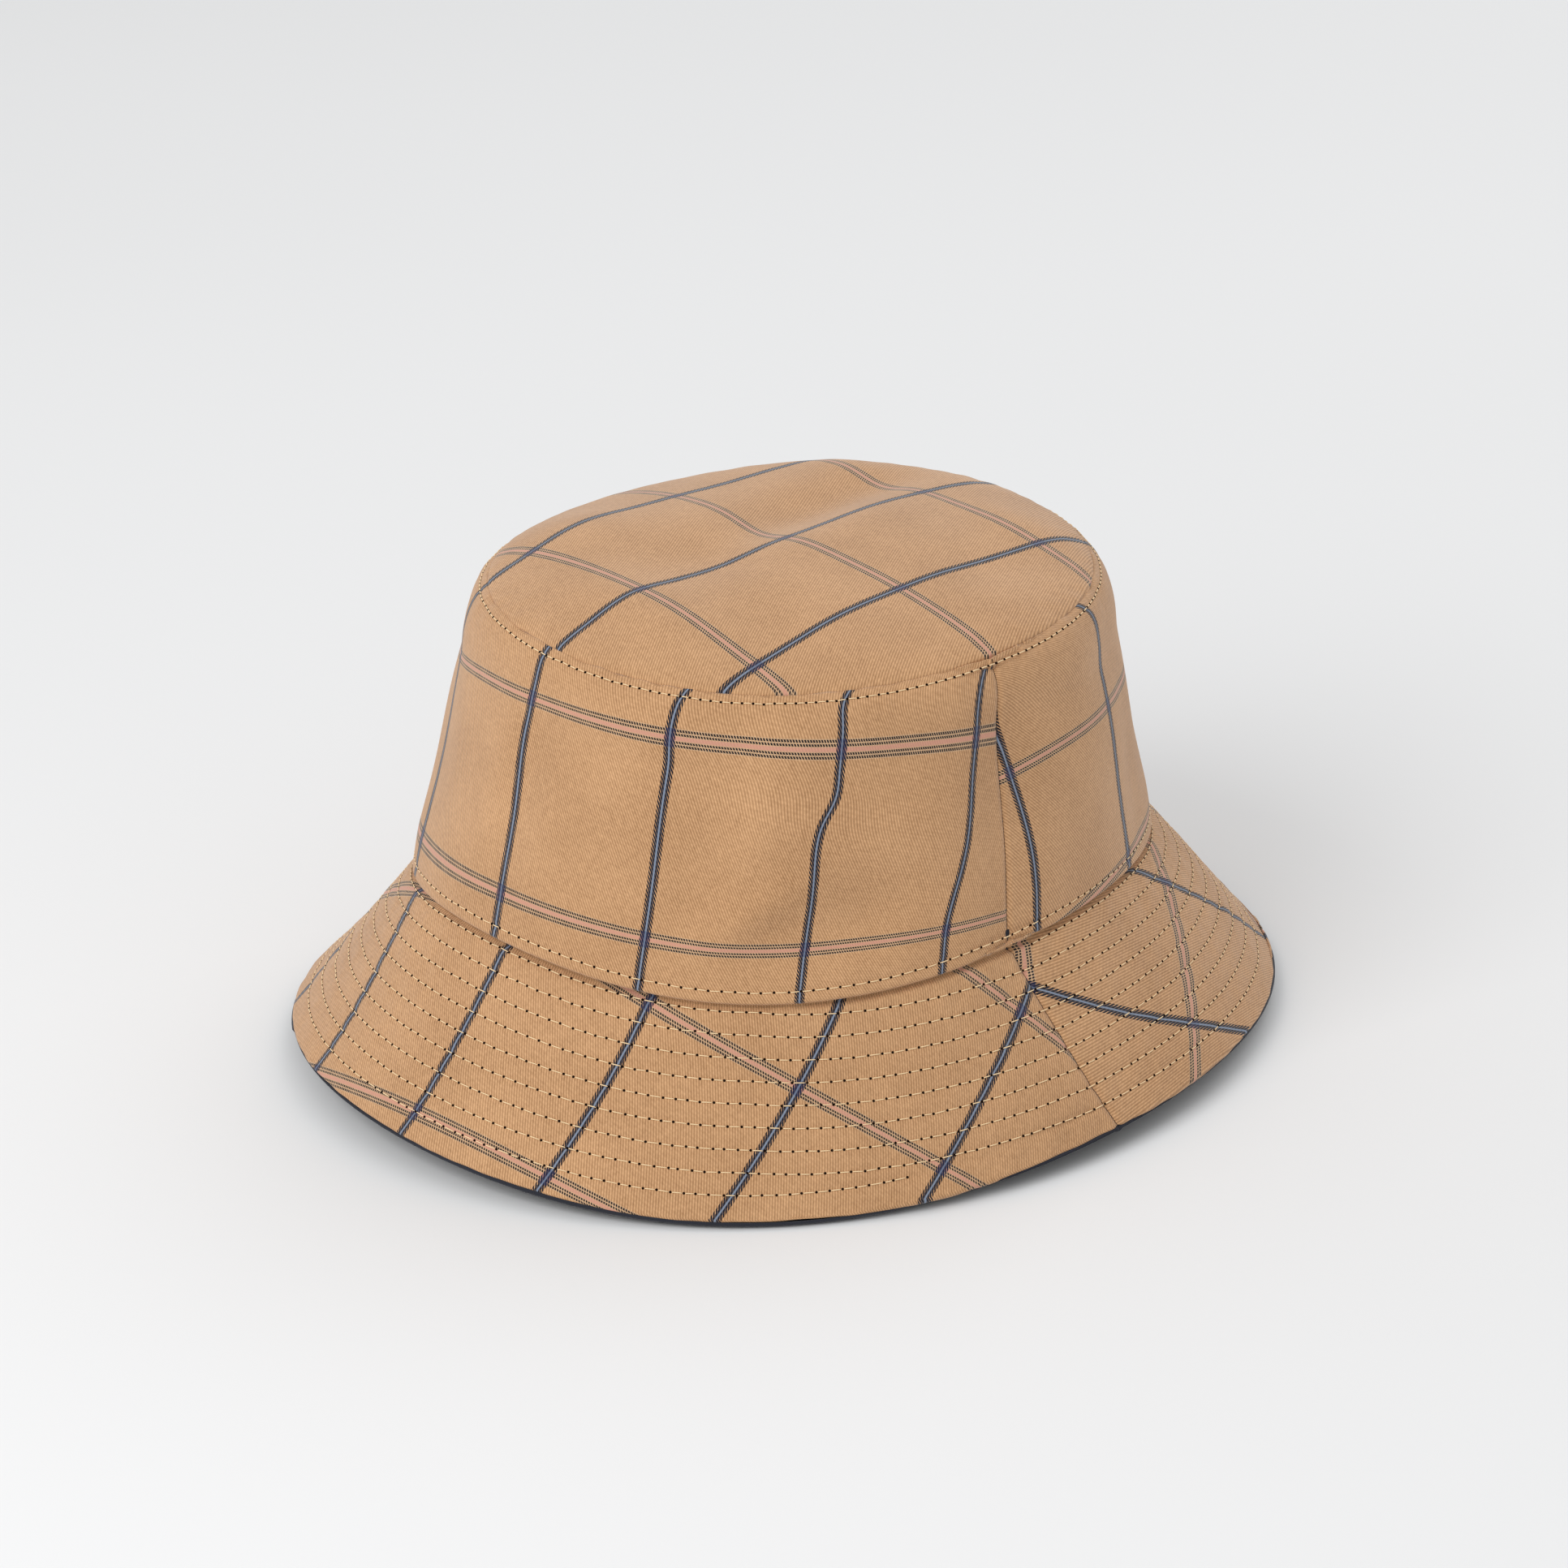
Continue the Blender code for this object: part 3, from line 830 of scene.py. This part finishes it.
def build_inner(lining, stiffener):
    """Lining, under brim and the stiffener between the brim cloths."""
    out = {}
    crown_run, brim_run = run_length(CROWN), run_length(BRIM)
    shown = (crown_run > 1.0) & (crown_run < CROWN_LENGTH - 1.0)
    inside = offset(CROWN, LAYERS)[shown][::2]
    inside_s = run_length(inside)
    under = offset(BRIM, UNDER_DEPTH)[brim_run < BRIM_LENGTH - 1.2][::2]
    roll = beside_edge(((-0.55, 2.85), (-0.15, 2.45), (0.0, 1.9), (0.0, 1.2), (-0.12, 0.55),
                        (-0.45, 0.15), (-0.85, 0.15), (-1.15, 0.6), (-1.3, 1.2)))
    start = np.array([offset(CROWN, 2.6)[-6], offset(CROWN, 2.7)[-2]])
    under, under_s = with_edges(under, start, roll)
    length = under_s[-1] - 5.0
    covered = (brim_run > FELT_FROM) & (brim_run < BRIM_LENGTH - FELT_SHORT)
    middle = offset(BRIM, FELT_DEPTH)[covered][::3]
    middle_s = run_length(middle)

    def under_relief(s, t):
        beyond = np.clip((s - length + 1.0) / 2.0, 0, 1)
        hidden = ROLL_BACK * ((1 - np.cos(angle_from(t, ROLL_SHOWS))) / 2) ** 0.7
        return -under_height(s, t) * (1 - beyond) - hidden * beyond

    for half in ("front", "back"):
        out["lining_" + half] = sweep("lining_side_" + half, inside, inside_s, half,
                                      lambda s, t: -crown_relief(s + 1.0, t), None, lining,
                                      inside_s[-1], columns=240, inward=True, gap=0.0)
        out["under_" + half] = sweep("under_brim_" + half, under, under_s, half, under_relief,
                                     None, lining, length, columns=360, inward=True, gap=0.0)
        out["stiff_" + half] = sweep("brim_interlining_" + half, middle, middle_s, half,
                                     lambda s, t: brim_waves(s + FELT_FROM, t), None,
                                     stiffener, middle_s[-1], columns=160, thickness=1.2)
    out["lining_tip"] = polar_sheet("lining_tip", TIP_R - LAYERS, LEVELS[2] - 0.6,
                                    DOME_RISE - 1.5, 4.0, tip_relief,
                                    None, lining, inward=True, rings=40, columns=240)
    return out


def build_stitches(materials):
    """Every row of stitching, outside and inside."""
    crown, brim = Face(CROWN, crown_relief), Face(BRIM, brim_relief)
    inner = Face(offset(CROWN, LAYERS + 0.05), crown_relief)
    under = Face(offset(BRIM, 2.95), under_height)

    def level(distance):
        return lambda turns: np.full(np.shape(turns), distance)

    head = CROWN_LENGTH - HEAD_STITCH
    return {
        "tip": stitches("tip_topstitch", crown, level(TIP_STITCH), 1.0, TIP_STITCH_PITCH,
                        materials, seed=31),
        "head": stitches("headline_topstitch", crown, level(head), 1.0, STITCH, materials,
                         seed=32),
        "head_in": stitches("headline_bobbin", inner, level(head - 1.5), 1.0, STITCH, materials,
                            side=-1.0, seed=33),
        "brim": stitches("brim_rows", brim, row_offset, ROW_TURNS, STITCH, materials, seed=34),
        "brim_in": stitches("brim_rows_under", under, row_offset, ROW_TURNS, STITCH, materials,
                            side=-1.0, seed=35),
    }


# --- Camera, light and floor ------------------------------------------------------------------

AZIMUTH, ELEVATION = math.radians(46.6), math.radians(25.0)
LOOK_AT = (-0.1, -2.3, 60.05)
CAMERA_DISTANCE = 1386.0
FOCAL = 121.6                               # on a 36 mm wide sensor


def toward(azimuth, elevation):
    """Unit vector from the hat towards a compass angle and height; 0 is the wearer's front."""
    return Vector((math.sin(azimuth) * math.cos(elevation),
                   -math.cos(azimuth) * math.cos(elevation), math.sin(elevation)))


def make_camera():
    """The camera, which looks at LOOK_AT in the hat as it stands on the floor."""
    data = bpy.data.cameras.new("camera")
    data.sensor_width = 36.0
    data.lens = FOCAL
    data.clip_end = 20.0
    camera = bpy.data.objects.new("camera", data)
    bpy.context.scene.collection.objects.link(camera)
    back = toward(AZIMUTH, ELEVATION)
    look = Vector(LOOK_AT) + Vector((0, 0, LIFT))
    camera.location = (look + back * CAMERA_DISTANCE) * MM
    camera.rotation_euler = (-back).to_track_quat("-Z", "Y").to_euler()
    bpy.context.scene.camera = camera


def make_light(name, azimuth, elevation, distance, size, power):
    """A soft square lamp that faces the hat.

    Its azimuth is in degrees from the camera's; distance and size are in metres."""
    data = bpy.data.lights.new(name, "AREA")
    data.shape = "SQUARE"
    data.size = size
    data.energy = power
    lamp = bpy.data.objects.new(name, data)
    bpy.context.scene.collection.objects.link(lamp)
    back = toward(AZIMUTH + math.radians(azimuth), math.radians(elevation))
    lamp.location = back * distance
    lamp.rotation_euler = (-back).to_track_quat("-Z", "Y").to_euler()


def make_stage():
    """Pale floor, even surrounding light and two soft lamps."""
    look = Look("table", roughness=0.9, specular=0.1)
    colour = look.mix(look.noise(2.0, 1.0), (0.795, 0.80, 0.806), (0.825, 0.83, 0.836))
    material = look.finish(colour)
    far = 3000.0
    verts = np.array([[-far, -far, 0], [far, -far, 0], [far, far, 0], [-far, far, 0]])
    floor = new_mesh("floor", verts, np.array([[0, 1, 2, 3]]))
    floor.data.materials.append(material)
    world = bpy.data.worlds.new("studio")
    world.use_nodes = True
    background = world.node_tree.nodes["Background"]
    background.inputs["Color"].default_value = (0.985, 0.985, 0.985, 1.0)
    background.inputs["Strength"].default_value = 0.69
    bpy.context.scene.world = world
    make_light("key", azimuth=-42.0, elevation=40.0, distance=1.8, size=1.0, power=15.0)
    make_light("back", azimuth=140.0, elevation=48.0, distance=1.8, size=1.3, power=6.0)
    bpy.context.scene.view_settings.view_transform = "Standard"


def replace(piece, slot, *nodes):
    """The piece rides on the hat and stands for its CAD solids; its slot argument is not used."""
    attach(piece, "root")
    if nodes:
        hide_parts(*nodes)


make_camera()
twill, lining, stiffener = checked_twill(), dark_lining(), interlining()
outer = build_outer(twill)
inner = build_inner(lining, stiffener)
# the second material paints the shade of the needle holes
threads = build_stitches((sewing_thread(), needle_hole_shade()))

replace(outer["tip"], "checked_twill", "outer_crown_tip")
replace(inner["lining_tip"], "dark_lining", "lining_crown_tip")
for half in ("front", "back"):
    replace(outer["side_" + half], "checked_twill", "outer_side_panel_" + half)
    replace(outer["brim_" + half], "checked_twill", "outer_brim_" + half)
    replace(inner["lining_" + half], "dark_lining", "lining_side_panel_" + half)
    replace(inner["under_" + half], "dark_lining", "under_brim_" + half)
    replace(inner["stiff_" + half], "interlining", "brim_interlining_" + half)
for key, node in (("tip", "tip_topstitch_thread"), ("head", "headline_topstitch_thread"),
                  ("head_in", "headline_bobbin_thread"), ("brim", "brim_needle_thread"),
                  ("brim_in", "brim_bobbin_thread")):
    replace(threads[key][0], "sewing_thread", node)
    # the discs of painted needle-hole shade
    replace(threads[key][1], "sewing_thread")

for piece, held_by in (
        (outer["tip"], ("outer_side_front_cloth", "outer_side_back_cloth")),
        (outer["side_front"], ("outer_brim_front_cloth", "outer_tip_cloth")),
        (outer["side_back"], ("outer_brim_back_cloth", "outer_tip_cloth")),
        (outer["brim_front"], ("brim_interlining_front_cloth", "under_brim_front_cloth")),
        (outer["brim_back"], ("brim_interlining_back_cloth", "under_brim_back_cloth")),
        (inner["lining_tip"], ("lining_side_front_cloth", "lining_side_back_cloth")),
        (inner["lining_front"], ("under_brim_front_cloth", "lining_tip_cloth")),
        (inner["lining_back"], ("under_brim_back_cloth", "lining_tip_cloth")),
        (inner["under_front"], ("outer_brim_front_cloth",)),
        (inner["under_back"], ("outer_brim_back_cloth",)),
        (inner["stiff_front"], ("under_brim_front_cloth",)),
        (inner["stiff_back"], ("under_brim_back_cloth",))):
    width, length, area = CUT[piece.name]
    min(area, width * length)

make_stage()
